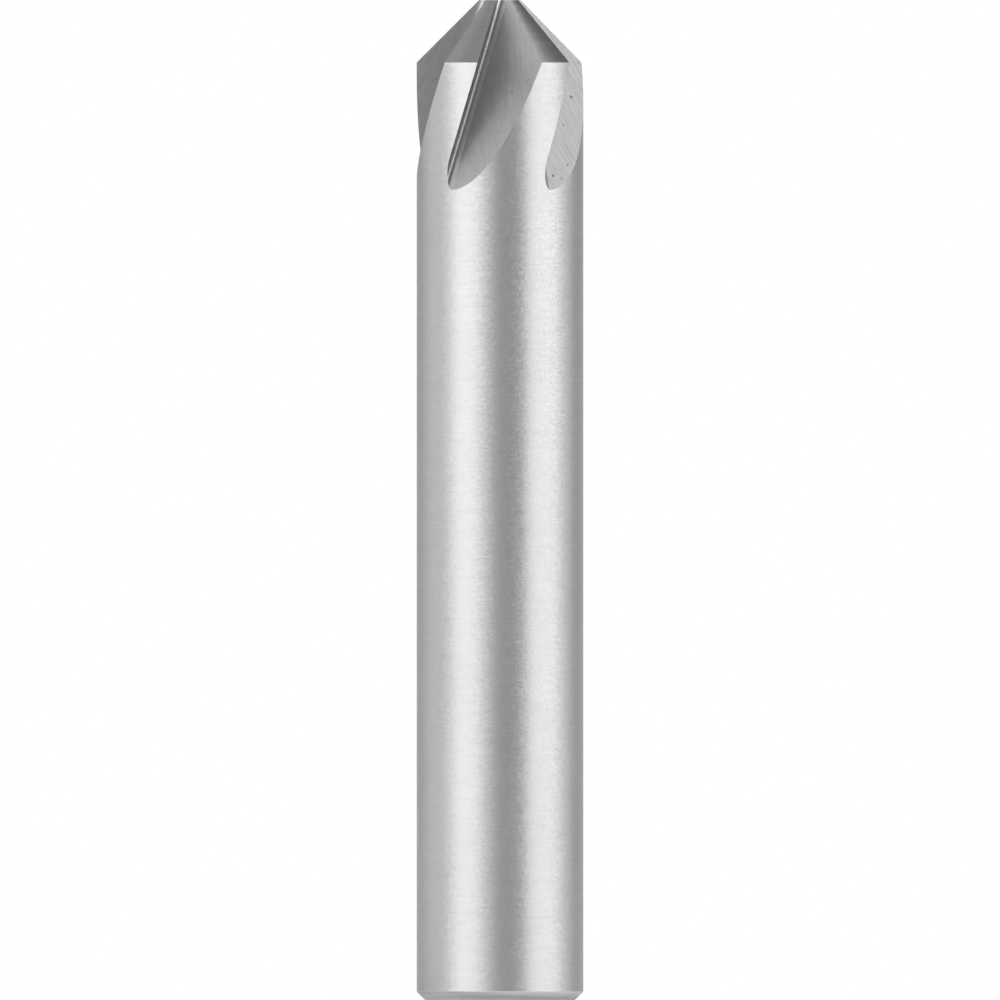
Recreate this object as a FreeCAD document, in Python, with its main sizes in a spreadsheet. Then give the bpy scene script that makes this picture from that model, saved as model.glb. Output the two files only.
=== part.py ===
import FreeCAD, Part
import math
import os

import Sketcher
from FreeCAD import Placement, Rotation, Vector

# Five-flute countersink bit, ground from one round bar. Millimetres and degrees.
# It stands on its shank end: the origin is the centre of that face, +Z runs along the
# axis to the tip, and one gullet opens toward -Y, the front.

# Driving dimensions: alias, value, meaning
DIMENSIONS = [
    ("bit_diameter", 6.35, "ground outside diameter, the same at head and shank"),
    ("overall_length", 38.1, "shank end face to tip flat"),
    ("point_angle", 90, "included angle of the cutting cone"),
    ("tip_flat_diameter", 1.5875, "flat at the tip of the cone"),
    ("end_chamfer", 0.32, "height of the chamfer around the shank end"),
    ("end_chamfer_angle", 45, "slope of that chamfer from the axis"),
    ("flute_count", 5, "gullets, evenly spaced"),
    ("flute_side_lean", 16.4, "lean of a gullet to the right, going up"),
    ("flute_depth_lean", 15.2, "lean of a gullet toward the axis, going up"),
    ("rake_offset", 0.15, "rake face left of the centre line, at the tip"),
    ("gullet_depth", 0.3, "sharp root of the gullet in front of the axis, at the tip"),
    ("gullet_angle", 53.8, "angle between rake face and gullet floor, at the tip"),
    ("gullet_radius", 0.29, "fillet between rake face and gullet floor, at the tip"),
]

# Ends of a sketched line or arc, and the sketch's own origin point
FIRST, SECOND = 1, 2
SKETCH_ORIGIN = (-1, FIRST)


def fill_sheet(doc):
    sheet = doc.addObject("Spreadsheet::Sheet", "Dimensions")
    for row, (alias, value, meaning) in enumerate(DIMENSIONS, start=1):
        sheet.set(f"A{row}", alias)
        sheet.set(f"B{row}", str(value))
        sheet.set(f"C{row}", meaning)
        sheet.setAlias(f"B{row}", alias)
    doc.recompute()
    return sheet


def origin_feature(body, role):
    return next(feature for feature in body.Origin.OriginFeatures if feature.Role == role)


def plane_sketch(body, name, role):
    sketch = body.newObject("Sketcher::SketchObject", name)
    sketch.AttachmentSupport = [(origin_feature(body, role), "")]
    sketch.MapMode = "FlatFace"
    return sketch


def hold(sketch, kind, *places):
    sketch.addConstraint(Sketcher.Constraint(kind, *places))


def bind(sketch, name, kind, places, start, formula):
    """Adds a dimension that the sheet drives, drawn at its start value."""
    index = sketch.addConstraint(Sketcher.Constraint(kind, *places, start))
    sketch.renameConstraint(index, name)
    sketch.setExpression(f"Constraints.{name}", formula)


def draw_blank_section(body, sheet):
    """Half section of the round bar with its cone, tip flat and end chamfer."""
    radius = sheet.bit_diameter / 2
    tip_radius = sheet.tip_flat_diameter / 2
    length = sheet.overall_length
    cone_angle = math.radians(sheet.point_angle / 2)
    chamfer_angle = math.radians(sheet.end_chamfer_angle)
    cone_height = (radius - tip_radius) / math.tan(cone_angle)
    chamfer_width = sheet.end_chamfer * math.tan(chamfer_angle)
    corners = [
        Vector(0, 0, 0),
        Vector(radius - chamfer_width, 0, 0),
        Vector(radius, sheet.end_chamfer, 0),
        Vector(radius, length - cone_height, 0),
        Vector(tip_radius, length, 0),
        Vector(0, length, 0),
    ]
    end_face, chamfer, side, cone, tip_flat, axis = range(len(corners))

    section = plane_sketch(body, "BlankSection", "XZ_Plane")
    for start, end in zip(corners, corners[1:] + corners[:1]):
        section.addGeometry(Part.LineSegment(start, end))
    for line in range(len(corners)):
        hold(section, "Coincident", line, SECOND, (line + 1) % len(corners), FIRST)
    hold(section, "Coincident", end_face, FIRST, *SKETCH_ORIGIN)
    hold(section, "Horizontal", end_face)
    hold(section, "Horizontal", tip_flat)
    hold(section, "Vertical", side)
    hold(section, "Vertical", axis)
    bind(section, "length", "DistanceY", (*SKETCH_ORIGIN, tip_flat, FIRST),
         length, "Dimensions.overall_length")
    bind(section, "radius", "DistanceX", (*SKETCH_ORIGIN, side, FIRST),
         radius, "Dimensions.bit_diameter / 2")
    bind(section, "tip_radius", "DistanceX", (*SKETCH_ORIGIN, tip_flat, FIRST),
         tip_radius, "Dimensions.tip_flat_diameter / 2")
    bind(section, "cone_direction", "Angle", (cone,),
         math.pi / 2 + cone_angle, "90 + Dimensions.point_angle / 2")
    bind(section, "chamfer_height", "DistanceY", (*SKETCH_ORIGIN, side, FIRST),
         sheet.end_chamfer, "Dimensions.end_chamfer")
    bind(section, "chamfer_direction", "Angle", (chamfer,),
         math.pi / 2 - chamfer_angle, "90 - Dimensions.end_chamfer_angle")
    return section


def turn_blank(body, section):
    blank = body.newObject("PartDesign::Revolution", "Blank")
    blank.Profile = section
    blank.ReferenceAxis = (origin_feature(body, "Z_Axis"), [""])
    blank.Angle = 360
    return blank


def draw_gullet_section(body, sheet):
    """Gullet seen from above in the plane of the tip flat.

    The rake face runs straight to the front, the floor runs out to the right,
    and a cap beyond the bar closes the outline in front.
    """
    root = Vector(-sheet.rake_offset, -sheet.gullet_depth, 0)
    opening = math.radians(sheet.gullet_angle)
    radius = sheet.gullet_radius
    reach = sheet.bit_diameter
    floor_run = (reach - sheet.gullet_depth) * math.tan(opening)
    wall_outer = Vector(root.x, -reach, 0)
    floor_outer = Vector(root.x + floor_run, -reach, 0)
    tangent_length = radius / math.tan(opening / 2)
    wall_inner = root + Vector(0, -tangent_length, 0)
    floor_inner = root + Vector(math.sin(opening), -math.cos(opening), 0) * tangent_length
    fillet_circle = Part.Circle(wall_inner + Vector(radius, 0, 0), Vector(0, 0, 1), radius)

    section = plane_sketch(body, "GulletSection", "XY_Plane")
    section.setExpression("AttachmentOffset.Base.z", "Dimensions.overall_length")
    cap = section.addGeometry(Part.LineSegment(wall_outer, floor_outer))
    floor = section.addGeometry(Part.LineSegment(floor_outer, floor_inner))
    fillet = section.addGeometry(Part.ArcOfCircle(fillet_circle, opening, math.pi))
    wall = section.addGeometry(Part.LineSegment(wall_inner, wall_outer))
    corner = section.addGeometry(Part.Point(root), True)
    hold(section, "Coincident", cap, SECOND, floor, FIRST)
    hold(section, "Tangent", floor, SECOND, fillet, FIRST)
    hold(section, "Tangent", fillet, SECOND, wall, FIRST)
    hold(section, "Coincident", wall, SECOND, cap, FIRST)
    hold(section, "Horizontal", cap)
    hold(section, "Vertical", wall)
    hold(section, "PointOnObject", corner, FIRST, wall)
    hold(section, "PointOnObject", corner, FIRST, floor)
    bind(section, "rake_offset", "DistanceX", (corner, FIRST, *SKETCH_ORIGIN),
         sheet.rake_offset, "Dimensions.rake_offset")
    bind(section, "depth", "DistanceY", (corner, FIRST, *SKETCH_ORIGIN),
         sheet.gullet_depth, "Dimensions.gullet_depth")
    bind(section, "reach", "DistanceY", (cap, FIRST, *SKETCH_ORIGIN),
         reach, "Dimensions.bit_diameter")
    bind(section, "floor_direction", "Angle", (floor,),
         math.pi / 2 + opening, "90 + Dimensions.gullet_angle")
    bind(section, "radius", "Radius", (fillet,),
         radius, "Dimensions.gullet_radius")
    return section


def grind_gullet(body, section):
    """One straight gullet, leaning so that it runs out through the side of the bar."""
    gullet = body.newObject("PartDesign::Pocket", "Gullet")
    gullet.Profile = section
    gullet.Type = "ThroughAll"
    gullet.UseCustomVector = True
    gullet.Direction = Vector(0, 0, -1)
    gullet.setExpression("Direction.x", "-tan(Dimensions.flute_side_lean)")
    gullet.setExpression("Direction.y", "-tan(Dimensions.flute_depth_lean)")
    return gullet


def repeat_gullet(body, gullet):
    gullets = body.newObject("PartDesign::PolarPattern", "Gullets")
    gullets.Originals = [gullet]
    gullets.Axis = (origin_feature(body, "Z_Axis"), [""])
    gullets.Angle = 360
    gullets.setExpression("Occurrences", "Dimensions.flute_count")
    body.Tip = gullets
    return gullets


def check_document(doc, parts):
    for item in doc.Objects:
        if "Invalid" in item.State or "Error" in item.State:
            raise RuntimeError(f"{item.Name} did not rebuild: {item.State}")
    for part in parts:
        if part.Shape.isNull() or not part.Shape.isValid():
            raise RuntimeError(f"{part.Label} has no valid shape")


def check_cuts(before, after):
    if after.Shape.Volume >= before.Shape.Volume:
        raise RuntimeError(f"{after.Name} removed nothing from {before.Name}")


doc = FreeCAD.newDocument("CountersinkBit")
sheet = fill_sheet(doc)

bit = doc.addObject("PartDesign::Body", "Bit")
bit.Label = "countersink_bit"
bit.Placement = Placement(Vector(0, 0, 0), Rotation())
blank = turn_blank(bit, draw_blank_section(bit, sheet))
doc.recompute()
gullet = grind_gullet(bit, draw_gullet_section(bit, sheet))
doc.recompute()
gullets = repeat_gullet(bit, gullet)
doc.recompute()

check_document(doc, [bit])
check_cuts(blank, gullet)
check_cuts(gullet, gullets)

os.makedirs("parts", exist_ok=True)
bit.Shape.exportStep(os.path.join("parts", f"{bit.Label}.step"))
print(f"{bit.Label}: {bit.Shape.Volume:.1f} cubic mm, {len(bit.Shape.Faces)} faces")
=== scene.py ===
import math

import bmesh
import bpy
from bpy.props import FloatProperty, FloatVectorProperty, IntProperty, PointerProperty
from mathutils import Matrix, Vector


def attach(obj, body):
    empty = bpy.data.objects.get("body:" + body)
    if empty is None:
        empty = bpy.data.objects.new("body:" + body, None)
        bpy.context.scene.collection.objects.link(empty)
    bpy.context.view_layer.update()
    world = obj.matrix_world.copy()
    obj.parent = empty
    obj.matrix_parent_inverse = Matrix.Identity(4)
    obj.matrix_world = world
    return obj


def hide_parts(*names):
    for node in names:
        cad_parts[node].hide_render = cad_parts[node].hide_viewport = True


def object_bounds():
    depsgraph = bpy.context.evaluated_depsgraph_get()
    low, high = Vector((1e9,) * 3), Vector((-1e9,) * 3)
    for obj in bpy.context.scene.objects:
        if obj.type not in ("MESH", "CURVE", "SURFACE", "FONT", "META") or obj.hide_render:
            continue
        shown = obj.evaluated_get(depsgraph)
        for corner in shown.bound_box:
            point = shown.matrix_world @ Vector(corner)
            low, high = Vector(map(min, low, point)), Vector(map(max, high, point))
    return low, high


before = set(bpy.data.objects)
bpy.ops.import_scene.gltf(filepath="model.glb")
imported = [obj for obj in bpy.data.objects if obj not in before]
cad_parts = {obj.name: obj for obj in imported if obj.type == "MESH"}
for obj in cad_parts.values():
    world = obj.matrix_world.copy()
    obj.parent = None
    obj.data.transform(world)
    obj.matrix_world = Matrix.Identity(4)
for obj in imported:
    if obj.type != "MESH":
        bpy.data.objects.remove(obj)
cad_low, cad_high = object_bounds()

bl_info = {
    "name": "Countersink Bit",
    "version": (1, 0, 0),
    "blender": (4, 5, 0),
    "location": "View3D > Sidebar > Countersink",
    "description": "Models a fluted countersink bit, finishes its ground steel and lights it",
    "category": "Add Mesh",
}

NODE = "countersink_bit"
BODY = "root"
MM = 0.001

# Smoothness of the model
BAR_FACETS = 360
ROOT_FACETS = 60
BREAK_FACETS = 2
STAGE_FACETS = 96
SMOOTH_ANGLE = math.radians(18)
WELD_DISTANCE = 1e-4

# Surfaces of the bit, in the order of its material slots
CYLINDER, CONE, TURNED, TIP, FLOOR, RAKE = range(6)

# Parts of a face's normal, by which faces are told apart
SLIGHT, NEARLY_ALL = 0.1, 0.9
WALL_TURN = 0.01   # less than the turn of the root fillet's first facet

GRIND_MAP = "Grind"
GRIND_STEP = 47   # millimetres of grinding pattern between one gullet and the next
COARSE_GULLET = 2   # the second gullet cut, which is to the right of the front one

# Lengths of the patterns on the cylinder, in grains
RING_LENGTH = 14
CLOUD_LENGTH, CLOUD_HEIGHT = 35, 50

# Lengths of the other patterns, in grinding marks
END_LINE_SPACING = 2
LINE_LENGTH = 60
BAND_HEIGHT = 8
STREAK_LENGTH = 30
PATCH_WIDTH, PATCH_LENGTH = 6, 9
PIT_RADIUS = 1.3
FINE_DETAIL = 3

# Shares by which the patterns lighten and darken the steel
SPECK_SHADE, RING_SHADE, CLOUD_SHADE = 0.045, 0.07, 0.03
CONE_LINE_SHADE, END_LINE_SHADE, BAND_SHADE = 0.15, 0.28, 0.08
FINE_STREAK_SHADE, COARSE_STREAK_SHADE, PATCH_SHADE = 0.3, 0.52, 0.08
# Painted shade in the pits: their colour is darkened by this share, on top of the dent that the
# bump gives them
PIT_PAINTED_SHADE = 0.7

# Amounts by which they change the roughness
SPECK_ROUGHNESS, LINE_ROUGHNESS, STREAK_ROUGHNESS = 0.05, 0.05, 0.1

# Streaks fan out far from the root: their turn, and where it starts and ends, in mm
FLOOR_FAN = (math.radians(-25), 0.4, 1.3)
RAKE_FAN = (math.radians(-12), 0.6, 1.6)
ROOT_STREAKS = 0.3   # strength of the streaks at the root itself

# Pits: none in a cell whose chance is below the first, a deep one above the second
PIT_CHANCE = (0.45, 0.8)
PIT_BOTTOM = 0.4   # flat part of a pit, as a share of its radius
PIT_DEPTH = 2   # in heights of a grinding mark
PIT_START = (0.6, 0.7)   # millimetres from the root
FINE_PITS = 0.3   # strength of the pits in a finely ground gullet

# Sockets of a Mix node for colours, by number because its others have the same names
MIX_FACTOR, MIX_FIRST, MIX_SECOND, MIX_RESULT = 0, 6, 7, 2

# Softboxes: azimuth and elevation seen from the bit, width and height, all in degrees,
# then brightness, where 1 is white
SOFTBOXES = {
    "left_softbox": (-48, 17, 40, 34, 1.11),
    "left_scrim": (-48, 17, 72, 34, 1.01),
    "right_softbox": (67, 5, 58, 10, 1.58),
    "right_scrim": (58, 5, 56, 10, 1.07),
    "right_strip": (42, 18, 16, 16, 0.46),
    "upper_right_softbox": (79, 59, 19, 62, 3.03),
    "side_right_softbox": (106, 12, 20, 24, 0.7),
    "side_left_softbox": (-97, 20, 30, 40, 0.49),
    "rear_left_softbox": (-118, 30, 36, 60, 0.5),
    "rear_right_softbox": (145, 20, 30, 40, 0.05),
    "overhead_softbox": (0, 90, 60, 60, 0.32),
}
# Each softbox stands this much farther than the one before, so none hides in another
SOFTBOX_STEP = 0.02
FLOOR_ROUGHNESS = 0.7
CAMERA_DISTANCE = 5   # in heights of the bit


def length_property(name, description, default):
    return FloatProperty(
        name=name, description=description, default=default, min=0,
        subtype="DISTANCE", unit="LENGTH", precision=5)


def angle_property(name, description, degrees):
    return FloatProperty(
        name=name, description=description, default=math.radians(degrees), min=0,
        subtype="ANGLE", unit="ROTATION")


def share_property(name, description, default):
    return FloatProperty(
        name=name, description=description, default=default, min=0, max=1,
        subtype="FACTOR")


def grey_property(name, description, grey):
    return FloatVectorProperty(
        name=name, description=description, default=(grey, grey, grey), size=3,
        min=0, max=1, subtype="COLOR")


class BitSizes(bpy.types.PropertyGroup):
    """Sizes of the bit. The outside ones come from the frame."""

    diameter: length_property(
        "Diameter", "Ground outside diameter of head and shank", cad_high.x - cad_low.x)
    length: length_property("Length", "Shank end to tip flat", cad_high.z - cad_low.z)
    point_angle: angle_property("Point Angle", "Included angle of the cutting cone", 90)
    tip_flat: length_property("Tip Flat", "Diameter of the flat at the tip", 1.5875 * MM)
    end_chamfer: length_property(
        "End Chamfer", "Height of the chamfer around the shank end", 0.32 * MM)
    edge_break: length_property(
        "Edge Break", "Rounding on the two edges of that chamfer", 0.02 * MM)
    flute_count: IntProperty(
        name="Flutes", description="Gullets, evenly spaced", default=5, min=1)
    side_lean: angle_property("Side Lean", "Lean of a gullet to the right, going up", 16.4)
    depth_lean: angle_property("Depth Lean", "Lean of a gullet to the axis, going up", 15.2)
    rake_offset: length_property(
        "Rake Offset", "Rake face left of the centre line, at the tip", 0.15 * MM)
    gullet_depth: length_property(
        "Gullet Depth", "Sharp root in front of the axis, at the tip", 0.3 * MM)
    gullet_angle: angle_property(
        "Gullet Angle", "Angle between rake face and floor, at the tip", 53.8)
    gullet_radius: length_property(
        "Gullet Radius", "Fillet at the gullet's root, at the tip", 0.29 * MM)


class BitFinish(bpy.types.PropertyGroup):
    """Look of the ground steel."""

    cylinder_steel: grey_property(
        "Cylinder Steel", "Colour of the shank and the lands", 0.62)
    # Painted light: the shank end and its chamfer get a much lighter copy of the shank's steel,
    # standing in for light that the shadowed floor below doesn't give them.
    turned_steel_painted_light: grey_property(
        "Turned Steel", "Colour of the shank end and its chamfer", 0.89)
    # Painted shade: the cone and the tip flat get a darker copy of the shank's steel, standing
    # in for the dimmer light they reflect.
    cutter_steel_painted_shade: grey_property(
        "Cutter Steel", "Colour of the cone and the tip flat", 0.442)
    # Painted shade: the gullet floors and rake faces get darker copies of the shank's steel,
    # standing in for the shade in the gullets.
    floor_steel_painted_shade: grey_property("Floor Steel", "Colour of the gullet floors", 0.5)
    rake_steel_painted_shade: grey_property("Rake Steel", "Colour of the rake faces", 0.56)
    cylinder_roughness: share_property(
        "Cylinder Roughness", "Roughness of the shank and the lands", 0.34)
    cone_roughness: share_property(
        "Cone Roughness", "Roughness of the cone, the tip flat and the shank end", 0.34)
    gullet_roughness: share_property(
        "Gullet Roughness", "Roughness of gullet floors and rake faces", 0.46)
    root_roughness: share_property(
        "Root Roughness", "Roughness of the fillets at the gullets' roots", 0.24)
    root_width: FloatVectorProperty(
        name="Root Width", description="Smooth root's end, then full roughness, in mm",
        default=(0.35, 0.42), size=2, min=0)
    grain: length_property("Grain", "Length of a speck on the cylinder", 0.08 * MM)
    grain_lean: angle_property("Grain Lean", "How far a speck leans off the surface", 2.4)
    mark_spacing: length_property("Mark Spacing", "Between grinding marks", 0.05 * MM)
    mark_height: length_property("Mark Height", "Relief of grinding marks", 0.006 * MM)
    pit_spacing: length_property("Pit Spacing", "Between pits in the gullets", 0.55 * MM)


class Studio(bpy.types.PropertyGroup):
    """Floor, lamps and background."""

    floor_radius: length_property("Floor Radius", "Radius of the round floor", 1.8)
    floor_colour: grey_property("Floor Colour", "Colour of the plain floor", 0.86)
    wall_height: length_property("Wall Height", "Height of the wall around the floor", 0.052)
    wall_colour: grey_property("Wall Colour", "Colour of the wall behind the bit", 1.0)
    room: grey_property("Room", "Brightness of the room above the wall", 0.13)
    lamp_distance: length_property("Lamp Distance", "Softboxes from the bit", 1.5)
    lamp_level: FloatProperty(
        name="Lamp Level", description="Brightness of all softboxes together", default=1, min=0)


class Value:
    """One output socket of a shader. Arithmetic on it adds Math nodes."""

    def __init__(self, shader, socket):
        self.shader = shader
        self.socket = socket

    def __add__(self, other):
        return self.shader.math("ADD", self, other)

    def __radd__(self, other):
        return self.shader.math("ADD", other, self)

    def __sub__(self, other):
        return self.shader.math("SUBTRACT", self, other)

    def __rsub__(self, other):
        return self.shader.math("SUBTRACT", other, self)

    def __mul__(self, other):
        return self.shader.math("MULTIPLY", self, other)

    def __rmul__(self, other):
        return self.shader.math("MULTIPLY", other, self)


def between(low, high, share):
    """From low where the share is 0 to high where it is 1."""
    return share * (high - low) + low


class Shader:
    """Node tree of one material or world."""

    def __init__(self, owner):
        owner.use_nodes = True
        self.tree = owner.node_tree
        self.tree.nodes.clear()

    def node(self, kind, settings=None, sockets=None, output=0):
        """Adds a node: its settings first, then values or links for its sockets."""
        made = self.tree.nodes.new(kind)
        for name, setting in (settings or {}).items():
            setattr(made, name, setting)
        for name, value in (sockets or {}).items():
            if isinstance(value, Value):
                self.tree.links.new(value.socket, made.inputs[name])
            else:
                made.inputs[name].default_value = value
        return Value(self, made.outputs[output]) if made.outputs else None

    def math(self, operation, first, second=0.0):
        return self.node("ShaderNodeMath", {"operation": operation}, {0: first, 1: second})

    def fade(self, value, start, end):
        """Runs smoothly from 0 at start to 1 at end."""
        settings = {"interpolation_type": "SMOOTHSTEP"}
        sockets = {"Value": value, "From Min": start, "From Max": end}
        return self.node("ShaderNodeMapRange", settings, sockets)

    def stretch(self, vector, sizes, turn=0.0):
        """Turns a pattern about Z and gives one period of it those sizes."""
        turned = self.node("ShaderNodeMapping", None,
                           {"Vector": vector, "Rotation": (0, 0, turn)})
        scale = [1 / size for size in sizes]
        return self.node("ShaderNodeMapping", None, {"Vector": turned, "Scale": scale})

    def noise(self, vector, sizes, turn=0.0, detail=2.0):
        """Cloudy pattern from -1 to 1, about 0."""
        place = self.stretch(vector, sizes, turn)
        sockets = {"Vector": place, "Scale": 1.0, "Detail": detail}
        return self.node("ShaderNodeTexNoise", None, sockets) * 2 - 1

    def vectors(self, operation, first, second):
        return self.node("ShaderNodeVectorMath", {"operation": operation},
                         {0: first, 1: second})

    def grains(self, vector, sizes, output="Value"):
        """Even speckle from 0 to 1: each small cell has a value or colour of its own."""
        cells = self.vectors("FLOOR", self.stretch(vector, sizes), (0, 0, 0))
        return self.node("ShaderNodeTexWhiteNoise", None, {"Vector": cells}, output)

    def lean(self, vector, sizes, angle):
        """Normal that leans sideways at random in each small cell, by up to that angle."""
        reach = 2 * math.tan(angle)
        grains = self.grains(vector, sizes, output="Color")
        random = self.vectors("SUBTRACT", grains, (0.5, 0.5, 0.5))
        push = self.vectors("MULTIPLY", random, (reach, reach, 0))
        normal = self.node("ShaderNodeNewGeometry", output="Normal")
        return self.vectors("ADD", normal, push)

    def bump(self, height, distance):
        """Normal of a surface whose height runs over that distance in metres."""
        return self.node("ShaderNodeBump", None, {"Height": height, "Distance": distance})

    def pits(self, vector, spacing, radius):
        """Sparse uneven pits: up to 1 inside a deep one, less in most, 0 elsewhere.

        Each cell may hold one. Its chance is the cell's own colour, taken as a grey.
        """
        place = self.stretch(vector, (spacing, spacing, spacing))
        flat = {"voronoi_dimensions": "2D"}
        sockets = {"Vector": place, "Scale": 1.0}
        distance = self.node("ShaderNodeTexVoronoi", flat, sockets, output="Distance")
        chance = self.node("ShaderNodeTexVoronoi", flat, sockets, output="Color")
        ragged = distance * spacing + self.noise(vector, (radius, radius, 1)) * radius
        depth = self.fade(ragged, radius, radius * PIT_BOTTOM)
        return depth * self.fade(chance, *PIT_CHANCE)

    def shade(self, colour, value):
        """A colour times a value."""
        grey = self.node("ShaderNodeCombineColor", None,
                         {"Red": value, "Green": value, "Blue": value})
        settings = {"data_type": "RGBA", "blend_type": "MULTIPLY"}
        sockets = {MIX_FACTOR: 1.0, MIX_FIRST: (*colour, 1.0), MIX_SECOND: grey}
        return self.node("ShaderNodeMix", settings, sockets, MIX_RESULT)

    def finish_metal(self, colour, roughness, normal):
        surface = self.node("ShaderNodeBsdfPrincipled", None, {
            "Base Color": colour, "Metallic": 1.0, "Roughness": roughness, "Normal": normal})
        self.node("ShaderNodeOutputMaterial", None, {"Surface": surface})


def new_shader(name):
    material = bpy.data.materials.new(name)
    return material, Shader(material)


def cylinder_material(finish):
    """Centreless-ground steel: specks that lie around the bar, over faint rings."""
    material, shader = new_shader("ground_cylinder")
    place = shader.node("ShaderNodeTexCoord", output="Object")
    grain = finish.grain
    speck = (grain, grain, grain / 2)
    ring = (grain * RING_LENGTH, grain * RING_LENGTH, grain)
    cloud = (grain * CLOUD_LENGTH, grain * CLOUD_LENGTH, grain * CLOUD_HEIGHT)
    specks = shader.grains(place, speck) * 2 - 1
    rings = shader.noise(place, ring)
    clouds = shader.noise(place, cloud)
    tone = 1 + specks * SPECK_SHADE + rings * RING_SHADE + clouds * CLOUD_SHADE
    shader.finish_metal(
        shader.shade(finish.cylinder_steel, tone),
        finish.cylinder_roughness + specks * SPECK_ROUGHNESS,
        shader.lean(place, speck, finish.grain_lean))
    return material


def ringed_material(name, finish, steel, contrast, spacing):
    """Steel that was ground or turned round: fine lines at right angles to the axis."""
    material, shader = new_shader(name)
    place = shader.node("ShaderNodeTexCoord", output="Object")
    length = spacing * LINE_LENGTH
    lines = shader.noise(place, (length, length, spacing), detail=FINE_DETAIL)
    bands = shader.noise(place, (length, length, spacing * BAND_HEIGHT))
    shader.finish_metal(
        shader.shade(steel, 1 + lines * contrast + bands * BAND_SHADE),
        finish.cone_roughness + lines * LINE_ROUGHNESS,
        shader.bump(lines, finish.mark_height / 2))
    return material


def gullet_coarseness(shader, place):
    """1 in the coarsely ground gullet, 0 in the others."""
    along = shader.node("ShaderNodeSeparateXYZ", None, {"Vector": place}, output="Y")
    away = shader.math("ABSOLUTE", along - GRIND_STEP * COARSE_GULLET)
    return shader.fade(away, GRIND_STEP / 2, GRIND_STEP / 4)


def gullet_material(name, finish, steel, turn, fan_start, fan_end):
    """Gullet steel with sparse pits and the streaks of the grinding wheel.

    The streaks follow the flute near the root and fan out farther from it. The fillet
    at the root is smoother than the rest.
    """
    material, shader = new_shader(name)
    place = shader.node("ShaderNodeUVMap", {"uv_map": GRIND_MAP})
    from_root = shader.node("ShaderNodeSeparateXYZ", None, {"Vector": place}, output="X")
    away = shader.fade(from_root, *finish.root_width)
    coarse = gullet_coarseness(shader, place)

    mark = finish.mark_spacing / MM
    streak = (mark, mark * STREAK_LENGTH, 1)
    near = shader.noise(place, streak, detail=FINE_DETAIL)
    far = shader.noise(place, streak, turn, detail=FINE_DETAIL)
    streaks = between(near, far, shader.fade(from_root, fan_start, fan_end))
    streaks = streaks * between(ROOT_STREAKS, 1, away)
    patches = shader.noise(place, (mark * PATCH_WIDTH, mark * PATCH_LENGTH, 1))
    pits = shader.pits(place, finish.pit_spacing / MM, mark * PIT_RADIUS)
    pits = pits * shader.fade(from_root, *PIT_START) * between(FINE_PITS, 1, coarse)

    streak_shade = between(FINE_STREAK_SHADE, COARSE_STREAK_SHADE, coarse)
    # The pits' darker colour is painted shade; the bump below gives their dent
    tone = 1 + streaks * streak_shade + patches * PATCH_SHADE - pits * PIT_PAINTED_SHADE
    roughness = between(finish.root_roughness, finish.gullet_roughness, away)
    shader.finish_metal(
        shader.shade(steel, tone),
        roughness + streaks * STREAK_ROUGHNESS,
        shader.bump(streaks * away - pits * PIT_DEPTH, finish.mark_height / 2))
    return material


def bit_materials(finish):
    """Materials in the order of the surfaces."""
    mark = finish.mark_spacing
    end_line = mark * END_LINE_SPACING
    return [
        cylinder_material(finish),
        # Darker steel of the cone: painted shade
        ringed_material("ground_cone", finish, finish.cutter_steel_painted_shade, CONE_LINE_SHADE, mark),
        # Lighter steel of the shank end and its chamfer: painted light
        ringed_material("turned_end", finish, finish.turned_steel_painted_light, END_LINE_SHADE, end_line),
        # Darker steel of the tip flat: painted shade
        ringed_material("tip_flat", finish, finish.cutter_steel_painted_shade, CONE_LINE_SHADE, mark),
        # Darker steels of the gullet floors and rake faces: painted shade
        gullet_material("gullet_floor", finish, finish.floor_steel_painted_shade, *FLOOR_FAN),
        gullet_material("rake_face", finish, finish.rake_steel_painted_shade, *RAKE_FAN),
    ]


def select_faces(piece, test):
    """Edit mode: selects only the faces that pass a test on centre and normal."""
    mesh = bmesh.from_edit_mesh(piece.data)
    bpy.ops.mesh.select_mode(type="FACE")
    bpy.ops.mesh.select_all(action="DESELECT")
    for face in mesh.faces:
        face.select_set(test(face.calc_center_median(), face.normal))
    bmesh.update_edit_mesh(piece.data)


def select_ring(piece, height):
    """Edit mode: selects only the edges that lie at one height."""
    mesh = bmesh.from_edit_mesh(piece.data)
    bpy.ops.mesh.select_mode(type="EDGE")
    bpy.ops.mesh.select_all(action="DESELECT")
    for edge in mesh.edges:
        edge.select_set(all(abs(end.co.z - height) < WELD_DISTANCE for end in edge.verts))
    bmesh.update_edit_mesh(piece.data)


def paint_faces(piece, surface, test):
    """Edit mode: gives the faces that pass a test the material of one surface."""
    select_faces(piece, test)
    piece.active_material_index = surface
    bpy.ops.object.material_slot_assign()


def dress(piece, materials):
    for material in materials:
        piece.data.materials.append(material)
    piece.data.uv_layers[0].name = GRIND_MAP


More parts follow.
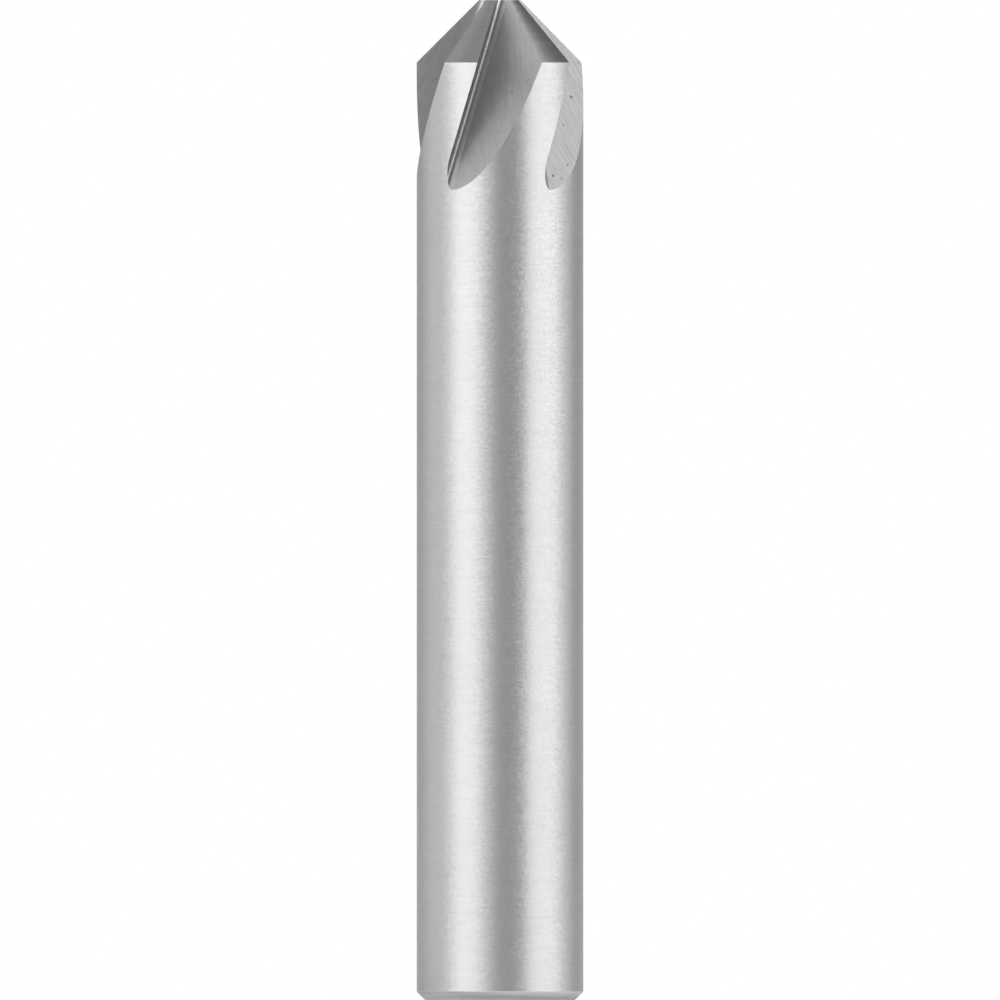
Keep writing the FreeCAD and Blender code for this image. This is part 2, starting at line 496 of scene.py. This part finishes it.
def turn_blank(sizes, materials):
    """Round bar with its end chamfer, cone and tip flat, in millimetres."""
    radius = sizes.diameter / 2 / MM
    tip_radius = sizes.tip_flat / 2 / MM
    length = sizes.length / MM
    chamfer = sizes.end_chamfer / MM
    edge_break = sizes.edge_break / MM
    cone_height = (radius - tip_radius) / math.tan(sizes.point_angle / 2)
    side_height = length - cone_height

    bpy.ops.object.select_all(action="DESELECT")
    bpy.ops.mesh.primitive_cylinder_add(
        vertices=BAR_FACETS, radius=radius, depth=side_height,
        end_fill_type="NGON", location=(0, 0, side_height / 2))
    blank = bpy.context.object
    bpy.ops.object.transform_apply(location=True, rotation=True, scale=True)
    dress(blank, materials)
    bpy.ops.object.mode_set(mode="EDIT")
    select_faces(blank, lambda centre, normal: normal.z > NEARLY_ALL)
    bpy.ops.mesh.extrude_region_move(TRANSFORM_OT_translate={"value": (0, 0, cone_height)})
    taper = tip_radius / radius
    bpy.ops.transform.resize(value=(taper, taper, 1), center_override=(0, 0, length))
    select_ring(blank, 0)
    bpy.ops.mesh.bevel(offset=chamfer, offset_type="OFFSET", segments=1, affect="EDGES")
    for height in (0, chamfer):
        select_ring(blank, height)
        bpy.ops.mesh.bevel(offset=edge_break, segments=BREAK_FACETS, affect="EDGES")
    paint_faces(blank, CYLINDER, lambda centre, normal: abs(normal.z) < SLIGHT)
    paint_faces(blank, CONE, lambda centre, normal: SLIGHT < normal.z < NEARLY_ALL)
    paint_faces(blank, TURNED, lambda centre, normal: normal.z < -SLIGHT)
    paint_faces(blank, TIP, lambda centre, normal: normal.z > NEARLY_ALL)
    bpy.ops.object.mode_set(mode="OBJECT")
    return blank


def grinding_wheel(sizes, materials):
    """Solid that one gullet takes out of the bar, in millimetres.

    Its section in the plane of the tip flat is the rake face, the root fillet and the
    floor, closed in front of the bar; it runs straight along the flute.
    """
    length = sizes.length / MM
    radius = sizes.gullet_radius / MM
    reach = sizes.diameter * 2 / MM
    opening = sizes.gullet_angle
    along = Vector((math.tan(sizes.side_lean), math.tan(sizes.depth_lean), 1))
    root = Vector((-sizes.rake_offset / MM, -sizes.gullet_depth / MM, length))
    tangent = radius / math.tan(opening / 2)
    wall_inner = root + Vector((0, -tangent, 0))
    floor_way = Vector((math.sin(opening), -math.cos(opening), 0))
    floor_inner = root + floor_way * tangent
    floor_outer = root + floor_way * reach
    wall_outer = Vector((root.x, floor_outer.y, length))

    bpy.ops.object.select_all(action="DESELECT")
    bpy.ops.mesh.primitive_plane_add(size=1, location=wall_inner)
    wheel = bpy.context.object
    bpy.ops.object.transform_apply(location=True, rotation=True, scale=True)
    dress(wheel, materials)
    bpy.ops.object.mode_set(mode="EDIT")
    bpy.ops.mesh.select_mode(type="VERT")
    bpy.ops.mesh.select_all(action="SELECT")
    bpy.ops.mesh.merge(type="CENTER")
    bpy.ops.mesh.spin(
        steps=ROOT_FACETS, angle=math.pi - opening,
        center=wall_inner + Vector((radius, 0, 0)), axis=(0, 0, 1))
    for start, end in ((floor_inner, floor_outer), (floor_outer, wall_outer)):
        bpy.ops.mesh.extrude_region_move(TRANSFORM_OT_translate={"value": end - start})
    bpy.ops.mesh.select_all(action="SELECT")
    bpy.ops.mesh.edge_face_add()
    bpy.ops.mesh.extrude_region_move(TRANSFORM_OT_translate={"value": -along * reach})
    select_faces(wheel, lambda centre, normal: centre.z > length - WELD_DISTANCE)
    bpy.ops.transform.translate(value=along)
    bpy.ops.mesh.select_all(action="SELECT")
    bpy.ops.mesh.normals_make_consistent(inside=False)
    paint_faces(wheel, FLOOR, lambda centre, normal: True)
    paint_faces(wheel, RAKE, is_wall)
    bpy.ops.object.mode_set(mode="OBJECT")
    map_grind(wheel, root, along.normalized())
    return wheel


def is_wall(centre, normal):
    """Whether a face of the grinding wheel is the flat one that grinds the rake face."""
    return normal.x < -NEARLY_ALL and abs(normal.y) < WALL_TURN


def map_grind(wheel, root, along):
    """Grind map in millimetres: U from the root outward, V along the flute."""
    mesh = wheel.data
    grind = mesh.uv_layers[GRIND_MAP].data
    for loop in mesh.loops:
        way = mesh.vertices[loop.vertex_index].co - root
        rise = way.dot(along)
        grind[loop.index].uv = ((way - along * rise).length, rise)


def shift_grind(wheel, step):
    """Moves the grind map along the flute, so that no two gullets look the same."""
    for corner in wheel.data.uv_layers[GRIND_MAP].data:
        corner.uv.y += step


def grind_gullets(bit, wheel, count):
    """Takes the gullets out of the bar, evenly around it."""
    for turn in range(count):
        shift_grind(wheel, GRIND_STEP)
        wheel.rotation_euler.z = turn * math.tau / count
        cut = bit.modifiers.new("Gullet", "BOOLEAN")
        cut.operation = "DIFFERENCE"
        cut.solver = "EXACT"
        cut.material_mode = "INDEX"
        cut.object = wheel
        bpy.ops.object.select_all(action="DESELECT")
        bpy.context.view_layer.objects.active = bit
        bit.select_set(True)
        bpy.ops.object.modifier_apply(modifier=cut.name)
    bpy.data.objects.remove(wheel)


def finish_mesh(bit):
    """Welds the cuts, brings the bit to metres and shades its curves smooth.

    Large faces keep their own direction, so a small edge break doesn't tilt them.
    """
    bpy.ops.object.mode_set(mode="EDIT")
    bpy.ops.mesh.select_all(action="SELECT")
    bpy.ops.mesh.remove_doubles(threshold=WELD_DISTANCE)
    bpy.ops.mesh.dissolve_degenerate(threshold=WELD_DISTANCE)
    bpy.ops.mesh.normals_make_consistent(inside=False)
    bpy.ops.object.mode_set(mode="OBJECT")
    bit.scale = (MM, MM, MM)
    bpy.ops.object.transform_apply(location=True, rotation=True, scale=True)
    bpy.ops.object.shade_smooth_by_angle(angle=SMOOTH_ANGLE)
    level = bit.modifiers.new("Level", "WEIGHTED_NORMAL")
    level.keep_sharp = True
    bpy.ops.object.modifier_apply(modifier=level.name)


class COUNTERSINK_OT_bit(bpy.types.Operator):
    """Model the bit in place of its CAD solid and finish every surface"""

    bl_idname = "countersink.bit"
    bl_label = "Bit"

    def execute(self, context):
        sizes = context.scene.bit_sizes
        materials = bit_materials(context.scene.bit_finish)
        bit = turn_blank(sizes, materials)
        bit.name = "ground_bit"
        grind_gullets(bit, grinding_wheel(sizes, materials), sizes.flute_count)
        finish_mesh(bit)
        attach(bit, BODY)
        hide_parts(NODE)
        return {"FINISHED"}


def add_softbox(name, distance, azimuth, elevation, width, height, brightness):
    """Area lamp that faces the bit, with its place and size in degrees as seen from it.

    Azimuth 0 is in front, at -Y, and grows toward +X.
    """
    azimuth = math.radians(azimuth)
    elevation = math.radians(elevation)
    way = Vector((
        math.sin(azimuth) * math.cos(elevation),
        -math.cos(azimuth) * math.cos(elevation),
        math.sin(elevation)))
    target = (cad_low + cad_high) / 2
    bpy.ops.object.light_add(type="AREA", location=target + way * distance)
    lamp = bpy.context.object
    lamp.name = name
    lamp.rotation_euler = way.to_track_quat("Z", "Y").to_euler()
    lamp.data.shape = "RECTANGLE"
    lamp.data.size = 2 * distance * math.tan(math.radians(width / 2))
    lamp.data.size_y = 2 * distance * math.tan(math.radians(height / 2))
    lamp.data.energy = brightness * math.pi * lamp.data.size * lamp.data.size_y
    lamp.visible_camera = False
    return lamp


class COUNTERSINK_OT_lamps(bpy.types.Operator):
    """Light the bit with softboxes around it in a plain room"""

    bl_idname = "countersink.lamps"
    bl_label = "Lamps"

    def execute(self, context):
        studio = context.scene.studio
        distance = studio.lamp_distance
        for name, (azimuth, elevation, width, height, brightness) in SOFTBOXES.items():
            add_softbox(name, distance, azimuth, elevation, width, height,
                        brightness * studio.lamp_level)
            distance += SOFTBOX_STEP
        world = bpy.data.worlds.new("studio_room")
        context.scene.world = world
        shader = Shader(world)
        room = shader.node("ShaderNodeBackground", None, {"Color": (*studio.room, 1)})
        shader.node("ShaderNodeOutputWorld", None, {"Surface": room})
        return {"FINISHED"}


def floor_material(studio):
    material, shader = new_shader("studio_floor")
    surface = shader.node("ShaderNodeBsdfPrincipled", None, {
        "Base Color": (*studio.floor_colour, 1), "Roughness": FLOOR_ROUGHNESS})
    shader.node("ShaderNodeOutputMaterial", None, {"Surface": surface})
    return material


def wall_material(studio):
    """Plain wall, as bright to the camera as to what the steel reflects.

    It lights nothing else.
    """
    material, shader = new_shader("studio_wall")
    camera, glossy, through = [
        shader.node("ShaderNodeLightPath", output=f"Is {ray} Ray")
        for ray in ("Camera", "Glossy", "Transmission")]
    unseen = shader.node("ShaderNodeBsdfDiffuse", None, {"Color": (*studio.floor_colour, 1)})
    seen = shader.node("ShaderNodeEmission", None, {"Color": (*studio.wall_colour, 1)})
    surface = shader.node("ShaderNodeMixShader", None, {
        0: camera + glossy + through, 1: unseen, 2: seen})
    shader.node("ShaderNodeOutputMaterial", None, {"Surface": surface})
    return material


class COUNTERSINK_OT_stage(bpy.types.Operator):
    """Lay the plain floor that the bit stands on and put a low wall around it"""

    bl_idname = "countersink.stage"
    bl_label = "Stage"

    def execute(self, context):
        studio = context.scene.studio
        bpy.ops.mesh.primitive_circle_add(
            vertices=STAGE_FACETS, radius=studio.floor_radius, fill_type="NGON",
            location=(0, 0, cad_low.z))
        floor = bpy.context.object
        floor.name = "studio_floor"
        floor.data.materials.append(floor_material(studio))
        bpy.ops.mesh.primitive_cylinder_add(
            vertices=STAGE_FACETS, radius=studio.floor_radius, depth=studio.wall_height,
            end_fill_type="NOTHING", location=(0, 0, (cad_low.z + cad_high.z) / 2))
        wall = bpy.context.object
        wall.name = "studio_wall"
        wall.data.materials.append(wall_material(studio))
        return {"FINISHED"}


class COUNTERSINK_OT_camera(bpy.types.Operator):
    """Look at the bit straight from the front, without perspective"""

    bl_idname = "countersink.camera"
    bl_label = "Camera"

    def execute(self, context):
        height = cad_high.z - cad_low.z
        middle = (cad_low + cad_high) / 2
        bpy.ops.object.camera_add(
            location=middle - Vector((0, height * CAMERA_DISTANCE, 0)),
            rotation=(math.radians(90), 0, 0))
        camera = bpy.context.object
        camera.data.type = "ORTHO"
        camera.data.ortho_scale = height
        context.scene.camera = camera
        return {"FINISHED"}


class COUNTERSINK_PT_sidebar(bpy.types.Panel):
    """Sizes, finish and studio of the bit, with the buttons that make them"""

    bl_idname = "COUNTERSINK_PT_sidebar"
    bl_label = "Countersink Bit"
    bl_space_type = "VIEW_3D"
    bl_region_type = "UI"
    bl_category = "Countersink"

    def draw(self, context):
        for settings in (context.scene.bit_sizes, context.scene.bit_finish,
                         context.scene.studio):
            for name in settings.bl_rna.properties.keys():
                if name not in ("rna_type", "name"):
                    self.layout.prop(settings, name)
        for operator in OPERATORS:
            self.layout.operator(operator.bl_idname)


OPERATORS = [
    COUNTERSINK_OT_bit,
    COUNTERSINK_OT_stage,
    COUNTERSINK_OT_lamps,
    COUNTERSINK_OT_camera,
]
CLASSES = [BitSizes, BitFinish, Studio, *OPERATORS, COUNTERSINK_PT_sidebar]


def register():
    for made in CLASSES:
        bpy.utils.register_class(made)
    bpy.types.Scene.bit_sizes = PointerProperty(type=BitSizes)
    bpy.types.Scene.bit_finish = PointerProperty(type=BitFinish)
    bpy.types.Scene.studio = PointerProperty(type=Studio)


def unregister():
    del bpy.types.Scene.studio
    del bpy.types.Scene.bit_finish
    del bpy.types.Scene.bit_sizes
    for made in reversed(CLASSES):
        bpy.utils.unregister_class(made)


def main():
    register()
    bpy.context.scene.view_settings.view_transform = "Standard"
    bpy.ops.countersink.bit()
    bpy.ops.countersink.stage()
    bpy.ops.countersink.lamps()
    bpy.ops.countersink.camera()


if __name__ == "__main__":
    main()
